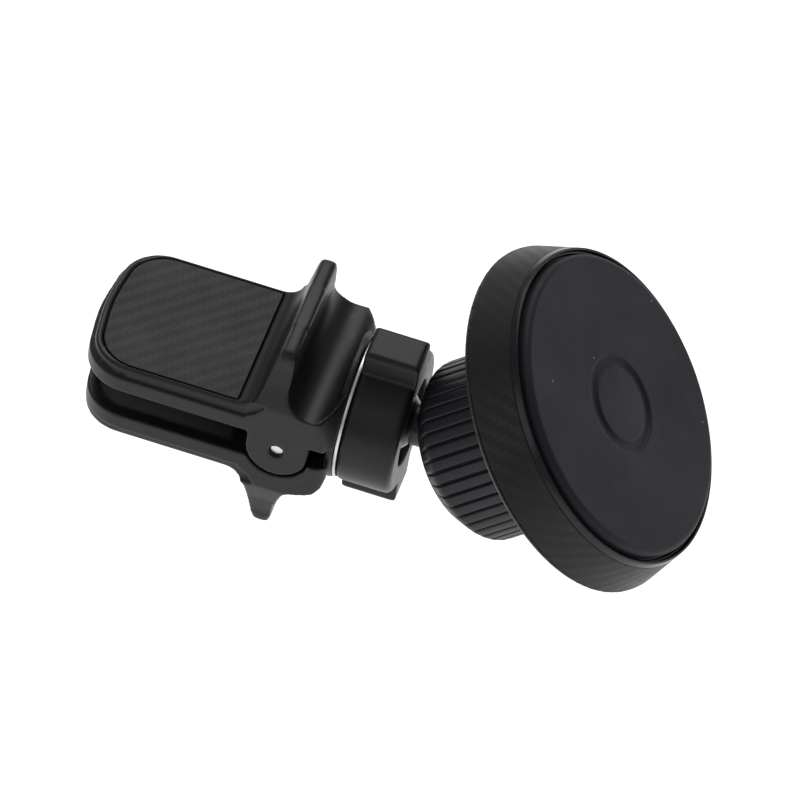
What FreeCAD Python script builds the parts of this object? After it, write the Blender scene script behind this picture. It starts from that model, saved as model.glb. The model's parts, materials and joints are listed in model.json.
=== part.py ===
import FreeCAD, Part
import math
import os
from FreeCAD import Vector, Placement, Rotation

# Magnetic air-vent phone mount. Millimetres.
# +Y runs from the phone towards the tip of the jaws, +Z is up, X runs across the clip.
# The origin is the middle of the slot that takes the vent blade.
# "u" is the distance in front of the ball centre along the axis of the magnetic head.

# ---- clip: overall -------------------------------------------------------------------
JAW_WIDTH = 22.1            # across both jaws
JAW_TIP_Y = 9.9             # tip of the upper jaw
LOWER_SHORT = 0.5           # the lower jaw ends this much earlier
JAW_GAP = 4.2               # slot between the jaws at rest
JAW_DEPTH = 6.0             # slot mid-plane to the outer face of a jaw
SLAB_STEP = 1.5             # height of the raised platform on a jaw
PLATFORM_INSET = 0.55       # platform edge inside the slab edge
TIP_CORNER = 6.0            # plan radius of the jaw corners
TIP_ARCH = 1.3              # how far the middle of the tip stands ahead of its corners

# ---- clip: hinge ---------------------------------------------------------------------
PIN_Y = -17.4
PIN_DIA = 1.9
PIN_END_RECESS = 0.5        # pin end below the outside of the clip
PIN_PRESS = 0.02            # radial press of the pin in the upper jaw
PIN_RUNNING = 0.06          # radial running clearance in the lower jaw
LOBE_RADIUS = 4.0           # round cheeks of the upper jaw
CHEEK = 2.4                 # cheek thickness
KNUCKLE_RADIUS = 3.4
KNUCKLE_WIDTH = 2.8
JAW_OPEN_MAX = 12.0         # degrees

# ---- clip: finger tabs ---------------------------------------------------------------
TAB_TIP_Z = 15.6
TAB_WIDTH = 18.6
TAB_FRONT_Y = -15.5         # at the tip; the front leans
TAB_LEAN = 1.0
TAB_THICK = 2.1
DISH_RADIUS = 3.5           # finger hollow behind a tab
DISH_BOTTOM = 6.8
REAR_Y = -24.3              # rear face of the clip
END_DISC_RADIUS = 9.5
END_DISC_THICK = 1.1

# ---- clearances ----------------------------------------------------------------------
FIT = 0.05                  # radial running fit
SEAT = 0.03                 # face to face on one body
CLEAR = 0.3                 # between bodies that move past one another

# ---- stud and ball -------------------------------------------------------------------
AXIS_Z = 0.7                # stud axis above the slot mid-plane
BALL_DIA = 15.0
NECK_DIA = 5.4
STUD_DIA = 9.0
STUD_FLATS = 7.8
STUD_ROOT_DIA = 6.0
BALL_FLAT = 5.2             # flat on the front of the ball, from its centre
SPIGOT_DIA = 3.0

# ---- lock ring -----------------------------------------------------------------------
RING_FRONT_Y = -24.85
RING_REAR_Y = -32.0
RING_DIA = 18.8
LUG_HEIGHT = 12.4           # from the ring axis
LUG_WIDTH = 5.5
COLLAR_DIA = 13.0
COLLAR_THICK = 1.5
FLANGE_DIA = 18.6           # bright washer between the clip and the ring

# ---- socket --------------------------------------------------------------------------
HEAD_TILT = 42.7            # between the head axis and the stud axis, degrees
HEAD_SWING = 3.0            # tilt direction turned from straight up towards +X, degrees
LINER_THICK = 0.8
BOSS_WALL = 1.5             # around the liner
BOSS_REAR = -0.5
NUT_WALL = 1.8
NUT_REAR = -4.15
NUT_FRONT = 10.5
NUT_BEVEL = 2.3             # length of the sloping rear end
NUT_MOUTH_CLEAR = 1.0       # radial, around the ball
NUT_MOUTH_RIM = 1.0
NUT_RING_GAP = 0.822        # nut to lock ring with the head at full tilt
RIB_COUNT = 44
RIB_DEPTH = 0.42
RIB_GROOVE = 0.45           # radius of the groove between two ribs
CLAMP_REAR = -2.9
CLAMP_FRONT = -0.8

# ---- magnetic head -------------------------------------------------------------------
HEAD_DIA = 45.0
BACK_EDGE = 13.15
BACK_PLATE = 10.9
SIDE_TAPER = 18.0           # degrees
LIP_FRONT = 19.55
BEZEL_HEIGHT = 0.85
BEZEL_WIDTH = 0.8
BAND_THICK = 0.75
SHELL_WALL = 1.4
CAVITY_FLOOR = 12.9
PAD_GAP = 0.2
PAD_PROUD = 0.95
PAD_THICK = 1.75
PAD_EDGE = 0.9
RING_MARK_DIA = 12.0        # plain ring pressed into the pad
ADHESIVE_THICK = 0.2
CARRIER_THICK = 2.8
YOKE_THICK = 1.1
MAGNET_COUNT = 6
MAGNET_DIA = 9.0
MAGNET_PITCH_DIA = 25.0
SCREW_COUNT = 3
SCREW_PITCH_DIA = 33.0
SCREW_DIA = 2.2
SCREW_HEAD_DIA = 4.0

HALF = JAW_WIDTH / 2.0
GAP = JAW_GAP / 2.0
BALL_R = BALL_DIA / 2.0
HEAD_R = HEAD_DIA / 2.0
BOSS_DIA = BALL_DIA + 2 * (FIT + LINER_THICK + FIT + BOSS_WALL)
NUT_DIA = BOSS_DIA + 2 * (FIT + NUT_WALL)
NUT_MOUTH_DIA = BALL_DIA + 2 * NUT_MOUTH_CLEAR
NUT_END_DIA = NUT_MOUTH_DIA + 2 * NUT_MOUTH_RIM

# the ball stands off the lock ring so that the tilted nut clears it
TILT = math.radians(HEAD_TILT)
NUT_REACH = NUT_DIA / 2 * math.sin(TILT) - (NUT_REAR + NUT_BEVEL) * math.cos(TILT)
BALL_Y = RING_REAR_Y - NUT_REACH - NUT_RING_GAP


# ---- helpers -------------------------------------------------------------------------
def corner_tangents(before, at, after, radius):
    ax, ay = before[0] - at[0], before[1] - at[1]
    bx, by = after[0] - at[0], after[1] - at[1]
    la, lb = math.hypot(ax, ay), math.hypot(bx, by)
    ax, ay, bx, by = ax / la, ay / la, bx / lb, by / lb
    half = math.acos(max(-1.0, min(1.0, ax * bx + ay * by))) / 2.0
    reach = radius / math.tan(half)
    mx, my = ax + bx, ay + by
    ml = math.hypot(mx, my)
    dist = radius / math.sin(half)
    centre = (at[0] + mx / ml * dist, at[1] + my / ml * dist)
    start = (at[0] + ax * reach, at[1] + ay * reach)
    end = (at[0] + bx * reach, at[1] + by * reach)
    middle = (centre[0] - mx / ml * radius, centre[1] - my / ml * radius)
    return start, middle, end


def outline(corners, place):
    """Closed face from (a, b, radius) corners; place() puts a point in space."""
    count = len(corners)
    pieces = []
    for i in range(count):
        at = corners[i]
        if at[2] > 0:
            pieces.append(corner_tangents(corners[i - 1], at, corners[(i + 1) % count], at[2]))
        else:
            pieces.append((at[:2], None, at[:2]))
    edges = []
    for i in range(count):
        start, middle, end = pieces[i]
        if middle:
            edges.append(Part.Arc(place(*start), place(*middle), place(*end)).toShape())
        target = pieces[(i + 1) % count][0]
        if place(*end).distanceToPoint(place(*target)) > 1e-6:
            edges.append(Part.makeLine(place(*end), place(*target)))
    return Part.Face(Part.Wire(edges))


def side_extrusion(corners, x0, x1):
    face = outline(corners, lambda y, z: Vector(x0, y, z))
    return face.extrude(Vector(x1 - x0, 0, 0))


def plan_extrusion(corners, z0, z1):
    face = outline(corners, lambda x, y: Vector(x, y, z0))
    return face.extrude(Vector(0, 0, z1 - z0))


def front_extrusion(corners, y0, y1):
    face = outline(corners, lambda x, z: Vector(x, y0, z))
    return face.extrude(Vector(0, y1 - y0, 0))


def turned(corners):
    """Solid of revolution about Z from (r, u, radius) corners."""
    face = outline(corners, lambda r, u: Vector(r, 0, u))
    return face.revolve(Vector(0, 0, 0), Vector(0, 0, 1), 360)


def tube(r_out, r_in, u0, u1):
    return turned([(r_in, u0, 0), (r_out, u0, 0), (r_out, u1, 0), (r_in, u1, 0)])


def rod(radius, u0, u1):
    return Part.makeCylinder(radius, u1 - u0, Vector(0, 0, u0))


def cross_rod(radius, x0, x1, y, z):
    return Part.makeCylinder(radius, x1 - x0, Vector(x0, y, z), Vector(1, 0, 0))


def box(x0, x1, y0, y1, z0, z1):
    return Part.makeBox(x1 - x0, y1 - y0, z1 - z0, Vector(x0, y0, z0))


def both_sides(shape):
    return shape.fuse(shape.mirror(Vector(0, 0, 0), Vector(1, 0, 0)))


def flipped(shape):
    return shape.mirror(Vector(0, 0, 0), Vector(0, 0, 1))


def on_stud(shape):
    """Local Z runs backwards along the stud from the middle of the ball."""
    shape = shape.copy()
    frame = Placement(Vector(0, BALL_Y, AXIS_Z), Rotation(Vector(1, 0, 0), -90))
    shape.Placement = frame.multiply(shape.Placement)
    return shape


def on_head(shape):
    """Local Z runs forwards along the head axis from the middle of the ball."""
    shape = shape.copy()
    turn = Rotation(Vector(0, 1, 0), HEAD_SWING).multiply(Rotation(Vector(1, 0, 0), 90 - HEAD_TILT))
    shape.Placement = Placement(Vector(0, BALL_Y, AXIS_Z), turn).multiply(shape.Placement)
    return shape


def ring_of(shape, count, start=0.0):
    copies = []
    for i in range(count):
        turned_copy = shape.copy()
        turned_copy.rotate(Vector(0, 0, 0), Vector(0, 0, 1), start + 360.0 * i / count)
        copies.append(turned_copy)
    return copies


def save(name, shape):
    if len(shape.Solids) == 1:
        shape = shape.Solids[0]
    shape.exportStep("parts/" + name + ".step")


os.makedirs("parts", exist_ok=True)


# ---- clip: shapes shared by both jaws, drawn for the upper one ---------------------------
def tongue(half_width, tip, rear, corner, z0, z1, rear_corner=0.0):
    shoulder = tip - TIP_ARCH * half_width / HALF
    corners = [(half_width, rear, rear_corner), (half_width, shoulder, corner), (0, tip, 25.0)]
    corners += [(-half_width, shoulder, corner), (-half_width, rear, rear_corner)]
    return plan_extrusion(corners, z0, z1)


TAB_REAR_Y = TAB_FRONT_Y - TAB_THICK
DISH_Y = TAB_REAR_Y - DISH_RADIUS + 0.1
DISH_Z = DISH_BOTTOM + DISH_RADIUS
STEP_Z = JAW_DEPTH - SLAB_STEP
INLAY_REAR_Y = PIN_Y + 6.0
PLATFORM_REAR_Y = INLAY_REAR_Y - 1.5
INLAY_INSET = 1.15
INLAY_DEPTH = 0.7
PAD_INSET = 1.9
PAD_DEPTH = 0.8
PAD_REAR_Y = -11.0

tab_front = [(JAW_TIP_Y, JAW_DEPTH, 0), (TAB_FRONT_Y + TAB_LEAN + 1.0, JAW_DEPTH, 3.2)]
tab_front += [(TAB_FRONT_Y, TAB_TIP_Z, 0.5), (TAB_REAR_Y, TAB_TIP_Z, 0.5)]

# what both jaws look like from the front: straight sides that draw in to the tab
TAB_HALF = TAB_WIDTH / 2.0
front_shape = [(HALF, -1, 0), (HALF, 7.0, 1.2), (TAB_HALF + 0.7, 10.2, 3.5), (TAB_HALF, 13.2, 6.0)]
front_shape += [(TAB_HALF, TAB_TIP_Z, 1.3), (-TAB_HALF, TAB_TIP_Z, 1.3), (-TAB_HALF, 13.2, 6.0)]
front_shape += [(-TAB_HALF - 0.7, 10.2, 3.5), (-HALF, 7.0, 1.2), (-HALF, -1, 0)]
front_clip = front_extrusion(front_shape, REAR_Y - 1, JAW_TIP_Y + 1)

plan_clip = tongue(HALF, JAW_TIP_Y, REAR_Y - 1, TIP_CORNER, -1, TAB_TIP_Z + 1)

# the rear end draws in to the round end disc
drum_shape = [(0, REAR_Y, 0), (END_DISC_RADIUS, REAR_Y, 0.4), (END_DISC_RADIUS + 1.9, REAR_Y + 1.2, 2.0)]
drum_shape += [(END_DISC_RADIUS + 4.6, REAR_Y + 3.4, 3.0), (30, REAR_Y + 6.5, 0)]
drum_shape += [(30, 20, 0), (0, 20, 0)]
drum_face = outline(drum_shape, lambda r, y: Vector(r, y, AXIS_Z))
drum = drum_face.revolve(Vector(0, 0, AXIS_Z), Vector(0, 1, 0), 360)

# edge of the raised platform, with a fine groove below it
platform_half = HALF - PLATFORM_INSET
platform_tip = JAW_TIP_Y - PLATFORM_INSET
RUN_OUT = 2.4               # length over which the edge step fades out to the rear
margin_side = [(PLATFORM_REAR_Y - RUN_OUT, JAW_DEPTH + 1, 0), (PLATFORM_REAR_Y, STEP_Z, 4.0)]
margin_side += [(JAW_TIP_Y + 1, STEP_Z, 0), (JAW_TIP_Y + 1, JAW_DEPTH + 1, 0)]
slab_margin = side_extrusion(margin_side, -HALF - 1, HALF + 1)
platform = tongue(platform_half, platform_tip, PLATFORM_REAR_Y - 5, TIP_CORNER - 0.5, 0, 20)
slab_margin = slab_margin.cut(platform)
groove_core = tongue(platform_half - 0.4, platform_tip - 0.4, PLATFORM_REAR_Y - 5,
                     TIP_CORNER - 0.9, 0, 20)
groove = box(-HALF - 1, HALF + 1, PLATFORM_REAR_Y, JAW_TIP_Y + 1, STEP_Z, STEP_Z + 0.4)
groove = groove.cut(groove_core)

inlay_half = HALF - INLAY_INSET
inlay_tip = JAW_TIP_Y - 1.55
inlay_pocket = tongue(inlay_half, inlay_tip, INLAY_REAR_Y, TIP_CORNER - 0.9,
                      JAW_DEPTH - INLAY_DEPTH, JAW_DEPTH + 1)
inlay = tongue(inlay_half - 0.12, inlay_tip - 0.12, INLAY_REAR_Y + 0.12, TIP_CORNER - 1.0,
               JAW_DEPTH - INLAY_DEPTH, JAW_DEPTH - 0.05)

pad_pocket = tongue(HALF - PAD_INSET, JAW_TIP_Y - PAD_INSET, PAD_REAR_Y, TIP_CORNER - 1.6,
                    0, GAP + PAD_DEPTH)
grip_pad = tongue(HALF - PAD_INSET - 0.1, JAW_TIP_Y - PAD_INSET - 0.1, PAD_REAR_Y + 0.1,
                  TIP_CORNER - 1.7, GAP, GAP + PAD_DEPTH)

dish = cross_rod(DISH_RADIUS, -HALF - 1, HALF + 1, DISH_Y, DISH_Z)
above_dish = box(-HALF - 1, HALF + 1, REAR_Y - 1, TAB_REAR_Y, DISH_Z, TAB_TIP_Z + 1)


def trim_jaw(body):
    body = body.common(front_clip)
    body = body.common(plan_clip)
    body = body.common(drum)
    body = body.cut(slab_margin)
    body = body.cut(groove)
    body = body.cut(inlay_pocket)
    return body.cut(pad_pocket)


# ---- upper jaw -------------------------------------------------------------------------
upper_profile = [(JAW_TIP_Y, GAP, 0.4)] + tab_front
upper_profile += [(TAB_REAR_Y, DISH_Z, 0), (REAR_Y, DISH_Z, 0), (REAR_Y, GAP, 0)]
upper = side_extrusion(upper_profile, -HALF, HALF)
upper = upper.cut(dish)
upper = trim_jaw(upper)


def back(y):
    """Distance behind the ball centre, along the stud, of a plane at y."""
    return y - BALL_Y


end_disc = on_stud(rod(END_DISC_RADIUS, back(REAR_Y), back(REAR_Y + END_DISC_THICK)))
BOSS_FRONT_Y = PIN_Y - LOBE_RADIUS
SCREW_HEAD_R = 2.4
SCREW_HEAD_HIGH = 0.85
BOSS_HALF = 7.8
boss = box(-BOSS_HALF, BOSS_HALF, REAR_Y, BOSS_FRONT_Y, AXIS_Z - 5.0, DISH_BOTTOM - 1.5)
cheek = cross_rod(LOBE_RADIUS, -HALF, -HALF + CHEEK, PIN_Y, 0)
cheek = cheek.fuse(box(-HALF, -HALF + CHEEK, PIN_Y - LOBE_RADIUS, PIN_Y + LOBE_RADIUS, 0, GAP + 1.5))
pocket_x = HALF - CHEEK
knuckle_pocket = cross_rod(KNUCKLE_RADIUS + CLEAR + 0.1, -pocket_x, pocket_x, PIN_Y, 0)
coil_radius = PIN_DIA / 2 + 1.75
leg_slot = box(-5.0, -3.0, PIN_Y, PAD_REAR_Y - 0.5, GAP - 1, GAP + 1.0)

upper = upper.fuse([end_disc, boss])
upper = upper.cut([knuckle_pocket, leg_slot])
upper = upper.fuse(both_sides(cheek))
upper = upper.cut(cross_rod(PIN_DIA / 2 - PIN_PRESS, -HALF - 1, HALF + 1, PIN_Y, 0))
stud_bore = rod(STUD_ROOT_DIA / 2, back(REAR_Y) - 1, back(BOSS_FRONT_Y) - 0.9)
screw_bore = rod(1.6, back(REAR_Y), back(BOSS_FRONT_Y) + 1)
head_room = rod(SCREW_HEAD_R + 0.2, back(BOSS_FRONT_Y), back(BOSS_FRONT_Y) + 2)
upper = upper.cut([on_stud(stud_bore), on_stud(screw_bore), on_stud(head_room)]).removeSplitter()
save("upper_jaw", upper)
save("upper_inlay", inlay)
save("upper_grip_pad", grip_pad)

# ---- lower jaw, drawn upside down and then turned over -----------------------------------
HEEL_TOP = 1.0
lower_profile = [(JAW_TIP_Y, GAP, 0.4)] + tab_front
lower_profile += [(TAB_REAR_Y - 0.3, TAB_TIP_Z - 4.0, 3.0), (TAB_REAR_Y - 1.6, 7.3, 2.0)]
lower_profile += [(REAR_Y + 1.5, 5.9, 1.5), (REAR_Y, 3.9, 1.2), (REAR_Y, HEEL_TOP, 0.6)]
lower_profile += [(PIN_Y - LOBE_RADIUS, HEEL_TOP, 0), (PIN_Y - LOBE_RADIUS, GAP, 0)]
lower = side_extrusion(lower_profile, -HALF, HALF)
lower = lower.common(front_clip)
heel_clip = tongue(HALF, JAW_TIP_Y - LOWER_SHORT, REAR_Y, TIP_CORNER - 0.3, -1, TAB_TIP_Z + 1, 2.2)
lower = lower.common(heel_clip)
lower = lower.cut([slab_margin, groove, inlay_pocket, pad_pocket])
knuckle_x = HALF - CHEEK - CLEAR
knuckle = cross_rod(KNUCKLE_RADIUS, -knuckle_x, -knuckle_x + KNUCKLE_WIDTH, PIN_Y, 0)
knuckle = knuckle.fuse(box(-knuckle_x, -knuckle_x + KNUCKLE_WIDTH, PIN_Y - KNUCKLE_RADIUS,
                           PIN_Y + KNUCKLE_RADIUS, 0, GAP + 1.5))
cheek_room = cross_rod(LOBE_RADIUS + CLEAR, -HALF - 1, -knuckle_x, PIN_Y, 0)
spring_room = cross_rod(coil_radius + CLEAR, -knuckle_x + KNUCKLE_WIDTH, knuckle_x - KNUCKLE_WIDTH,
                        PIN_Y, 0)
lower_leg_slot = box(3.0, 5.0, PIN_Y, PAD_REAR_Y - 0.5, GAP - 1, GAP + 1.3)
lower = lower.cut([both_sides(cheek_room), cross_rod(KNUCKLE_RADIUS, -knuckle_x, knuckle_x, PIN_Y, 0)])
lower = lower.fuse(both_sides(knuckle))
lower = lower.cut([spring_room, lower_leg_slot])
lower = lower.cut(cross_rod(PIN_DIA / 2 + PIN_RUNNING, -HALF - 1, HALF + 1, PIN_Y, 0))
lower = flipped(lower)

# room for the end disc, the boss, the screw head and the lock ring over the whole travel
disc_room = on_stud(rod(END_DISC_RADIUS + CLEAR, back(REAR_Y) - 3, back(REAR_Y + END_DISC_THICK + CLEAR)))
boss_room = box(-BOSS_HALF - CLEAR, BOSS_HALF + CLEAR, REAR_Y - 3, BOSS_FRONT_Y + CLEAR,
                AXIS_Z - 5.0 - CLEAR, 9)
screw_room = on_stud(rod(SCREW_HEAD_R + CLEAR, back(BOSS_FRONT_Y) - 1,
                         back(BOSS_FRONT_Y) + SCREW_HEAD_HIGH + CLEAR))
ring_room = box(-HALF - 1, HALF + 1, RING_FRONT_Y - 3, RING_FRONT_Y + CLEAR, -HALF, HALF)
STEPS = 4
for i in range(STEPS + 1):
    swing = (JAW_OPEN_MAX + 1.0) * i / STEPS
    for room in (disc_room, boss_room, screw_room, ring_room):
        swung = room.copy()
        swung.rotate(Vector(0, PIN_Y, 0), Vector(1, 0, 0), swing)
        lower = lower.cut(swung)
lower = lower.removeSplitter()
save("lower_jaw", lower)
save("lower_inlay", flipped(inlay))
save("lower_grip_pad", flipped(grip_pad))

# ---- hinge pin and spring ----------------------------------------------------------------
pin_half = HALF - PIN_END_RECESS
pin = cross_rod(PIN_DIA / 2, -pin_half, pin_half, PIN_Y, 0)
pin = pin.makeChamfer(0.2, [e for e in pin.Edges if e.BoundBox.XLength < 1e-4])
save("hinge_pin", pin)

WIRE_DIA = 0.9
COIL_MEAN = PIN_DIA / 2 + 0.3 + WIRE_DIA / 2
COIL_HALF = 4.0
COIL_PITCH = 1.6
LEG_LENGTH = 5.2
coil_turns = int(2 * COIL_HALF / COIL_PITCH) + 0.5
helix = Part.makeHelix(COIL_PITCH, COIL_PITCH * coil_turns, COIL_MEAN)
wire_ring = Part.Wire(Part.makeCircle(WIRE_DIA / 2, Vector(COIL_MEAN, 0, 0), Vector(0, 1, 0)))
coil = Part.Wire(helix.Edges).makePipeShell([wire_ring], True, True)
coil.translate(Vector(0, 0, -COIL_PITCH * coil_turns / 2))
coil.rotate(Vector(0, 0, 0), Vector(0, 1, 0), 90)
coil.translate(Vector(0, PIN_Y, 0))
leg_x = COIL_PITCH * coil_turns / 2
for side in (-1, 1):
    leg = Part.makeCylinder(WIRE_DIA / 2, LEG_LENGTH, Vector(side * leg_x, PIN_Y, -side * COIL_MEAN),
                            Vector(0, 1, 0))
    coil = coil.fuse(leg)
save("torsion_spring", coil.removeSplitter())

# ---- ball stud ---------------------------------------------------------------------------
ball = Part.makeSphere(BALL_R)
ball = ball.cut(rod(BALL_R + 1, -BALL_R - 1, -BALL_FLAT))
spigot_tip = -BALL_R + 0.7
stud_shape = [(0, spigot_tip, 0), (SPIGOT_DIA / 2, spigot_tip, 0.2), (SPIGOT_DIA / 2, 0, 0), (0, 0, 0)]
spigot = turned(stud_shape)
TAPER_END = back(RING_REAR_Y) - 0.2
shank_shape = [(0, 0, 0), (NECK_DIA / 2, 0, 0), (NECK_DIA / 2, TAPER_END, 0)]
shank_shape += [(STUD_DIA / 2, TAPER_END + 1.6, 0), (STUD_DIA / 2, back(REAR_Y), 0)]
shank_shape += [(STUD_ROOT_DIA / 2, back(REAR_Y), 0), (STUD_ROOT_DIA / 2, back(BOSS_FRONT_Y) - 1.0, 0)]
shank_shape += [(0, back(BOSS_FRONT_Y) - 1.0, 0)]
shank = turned(shank_shape)
flat_from = back(RING_FRONT_Y) - COLLAR_THICK - 0.4
flat_side = box(-STUD_DIA, STUD_DIA, STUD_FLATS / 2, STUD_DIA, flat_from, back(REAR_Y))
stud = ball.fuse([spigot, shank])
stud = stud.cut([flat_side, flat_side.mirror(Vector(0, 0, 0), Vector(0, 1, 0))])
SCREW_TIP = back(REAR_Y) - 6.0
stud = stud.cut(rod(1.25, SCREW_TIP - 0.5, back(REAR_Y) + 9)).removeSplitter()
save("ball_stud", on_stud(stud))

screw_seat = back(BOSS_FRONT_Y)
screw_shape = [(0, SCREW_TIP, 0), (1.25, SCREW_TIP, 0.3), (1.25, screw_seat, 0),
               (SCREW_HEAD_R, screw_seat, 0), (SCREW_HEAD_R, screw_seat + SCREW_HEAD_HIGH, 0.3),
               (0, screw_seat + SCREW_HEAD_HIGH, 0)]
stud_screw = turned(screw_shape).cut(rod(0.9, screw_seat + 0.35, screw_seat + 2))
save("stud_screw", on_stud(stud_screw))

# ---- lock ring and its keyed collar --------------------------------------------------------
ring_a = back(RING_REAR_Y)
ring_b = back(RING_FRONT_Y)
hub = turned([(STUD_DIA / 2 + FIT, ring_a, 0), (RING_DIA / 2, ring_a, 0.9), (RING_DIA / 2, ring_b, 0.6),
              (STUD_DIA / 2 + FIT, ring_b, 0)])
lug_half = LUG_WIDTH / 2
lug_inner = RING_DIA / 2 - 2.0
lug = box(-lug_half, lug_half, lug_inner, LUG_HEIGHT, ring_a, ring_b)
lug_edges = [e for e in lug.Edges if e.BoundBox.YMin > lug_inner + 0.1]
lug = lug.makeFillet(0.7, lug_edges)
hub = hub.fuse([lug, lug.mirror(Vector(0, 0, 0), Vector(0, 1, 0))])
collar_pocket = rod(COLLAR_DIA / 2 + FIT, ring_b - COLLAR_THICK - 2 * FIT, ring_b + 1)
rear_pocket = rod(5.8, ring_a - 1, ring_a + 1.3)
lock_ring = hub.cut([collar_pocket, rear_pocket]).removeSplitter()
save("lock_ring", on_stud(lock_ring))

flange = rod(FLANGE_DIA / 2, ring_b + FIT, back(REAR_Y) - SEAT)
flange = flange.makeChamfer(0.1, [e for e in flange.Edges if e.BoundBox.ZLength < 1e-4])
collar = rod(COLLAR_DIA / 2, ring_b - COLLAR_THICK - FIT, ring_b + 2 * FIT).fuse(flange)
collar_hole = rod(STUD_DIA / 2 + FIT, 0, back(REAR_Y) + 1)
keyed = STUD_FLATS / 2 + FIT
collar_hole = collar_hole.common(box(-STUD_DIA, STUD_DIA, -keyed, keyed, 0, back(REAR_Y) + 1))
save("lock_collar", on_stud(collar.cut(collar_hole).removeSplitter()))

# ---- glide cap and socket liner --------------------------------------------------------------
cap = Part.makeSphere(BALL_R).common(rod(BALL_R + 1, -BALL_R - 1, -BALL_FLAT - SEAT))
cap = cap.cut(rod(SPIGOT_DIA / 2 + FIT, -BALL_R - 1, 0))
save("glide_cap", on_stud(cap))

liner_in = BALL_R + FIT
liner_out = liner_in + LINER_THICK
liner = Part.makeSphere(liner_out).cut(Part.makeSphere(liner_in))
liner = liner.cut(rod(3.2, 0, liner_out + 1))
liner = liner.cut(rod(liner_out + 1, -liner_out - 1, CLAMP_REAR + 0.2))
save("socket_liner", on_head(liner))

# ---- clamp ring and socket nut ---------------------------------------------------------------
bowl = Part.makeSphere(liner_out + FIT)
clamp = rod(BOSS_DIA / 2 - 0.3, CLAMP_REAR, CLAMP_FRONT).cut(bowl)
save("clamp_ring", on_head(clamp))

nut_bore = BOSS_DIA / 2 + FIT
nut_shape = [(NUT_MOUTH_DIA / 2 - 0.75, CLAMP_REAR - FIT, 0), (NUT_MOUTH_DIA / 2, NUT_REAR, 0.3)]
nut_shape += [(NUT_END_DIA / 2, NUT_REAR, 0.5), (NUT_DIA / 2, NUT_REAR + NUT_BEVEL, 1.5)]
nut_shape += [(NUT_DIA / 2, NUT_FRONT, 0.5), (nut_bore, NUT_FRONT, 0), (nut_bore, CLAMP_REAR - FIT, 0)]
nut = turned(nut_shape)
flute = Part.makeCylinder(RIB_GROOVE, NUT_FRONT - NUT_REAR + 4,
                          Vector(NUT_DIA / 2 + RIB_GROOVE - RIB_DEPTH, 0, NUT_REAR - 2))
nut = nut.cut(Part.makeCompound(ring_of(flute, RIB_COUNT)))
save("socket_nut", on_head(nut))

# ---- head: back shell ------------------------------------------------------------------------
taper = math.tan(math.radians(SIDE_TAPER))
bezel_back = LIP_FRONT - BEZEL_HEIGHT
band_start = BACK_EDGE + 0.35


def side_radius(u):
    """Outer radius of the tapered side at height u."""
    return HEAD_R - taper * max(0.0, u - BACK_EDGE)


wall_out = side_radius(bezel_back) - BAND_THICK
wall_in = wall_out - SHELL_WALL
band_seat = side_radius(band_start) - BAND_THICK
shell_shape = [(0, BACK_PLATE, 0), (NUT_DIA / 2 + 0.9, BACK_PLATE, 0)]
shell_shape += [(HEAD_R - 1.1, BACK_EDGE - 0.8, 0.5), (HEAD_R, BACK_EDGE, 0.35)]
shell_shape += [(side_radius(band_start), band_start, 0), (band_seat, band_start, 0)]
shell_shape += [(wall_out, bezel_back, 0), (wall_in, bezel_back, 0), (wall_in, CAVITY_FLOOR, 0.4)]
shell_shape += [(0, CAVITY_FLOOR, 0)]
shell = turned(shell_shape)
carrier_front = LIP_FRONT + PAD_PROUD - PAD_THICK - ADHESIVE_THICK
carrier_back = carrier_front - CARRIER_THICK
yoke_back = carrier_back - YOKE_THICK
post = Part.makeCylinder(2.6, yoke_back - CAVITY_FLOOR + 0.2,
                         Vector(SCREW_PITCH_DIA / 2, 0, CAVITY_FLOOR - 0.2))
post_hole = Part.makeCylinder(SCREW_DIA / 2, 10, Vector(SCREW_PITCH_DIA / 2, 0, CAVITY_FLOOR - 0.9))
shell = shell.fuse(rod(BOSS_DIA / 2, BOSS_REAR, BACK_PLATE + 0.5))
shell = shell.cut([bowl, rod(liner_out + FIT, BOSS_REAR - 1, 0)])
shell = shell.fuse(ring_of(post, SCREW_COUNT, 30))
shell = shell.cut(ring_of(post_hole, SCREW_COUNT, 30)).removeSplitter()
save("back_shell", on_head(shell))

# ---- head: band, bezel and pad -----------------------------------------------------------------
band_shape = [(band_seat + SEAT, band_start + SEAT, 0), (side_radius(band_start), band_start + SEAT, 0)]
band_shape += [(side_radius(bezel_back), bezel_back - SEAT, 0), (wall_out + SEAT, bezel_back - SEAT, 0)]
save("rim_band", on_head(turned(band_shape)))

lip_out = side_radius(LIP_FRONT) + 0.05
lip_in = lip_out - BEZEL_WIDTH
bezel_shape = [(lip_in, bezel_back + SEAT, 0), (side_radius(bezel_back), bezel_back + SEAT, 0)]
bezel_shape += [(lip_out, LIP_FRONT, 0.3), (lip_in, LIP_FRONT, 0.2)]
save("front_bezel", on_head(turned(bezel_shape)))

pad_r = lip_in - PAD_GAP
pad_front = LIP_FRONT + PAD_PROUD
pad = turned([(0, carrier_front + ADHESIVE_THICK, 0), (pad_r, carrier_front + ADHESIVE_THICK, 0),
              (pad_r, pad_front, PAD_EDGE), (0, pad_front, 0)])
mark_r = RING_MARK_DIA / 2
pad = pad.cut(tube(mark_r, mark_r - 0.5, pad_front - 0.12, pad_front + 1))
save("face_pad", on_head(pad))
inner_r = wall_in - 0.3
save("pad_adhesive", on_head(rod(min(inner_r, pad_r) - 0.8, carrier_front + SEAT,
                                 carrier_front + ADHESIVE_THICK - SEAT)))

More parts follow.
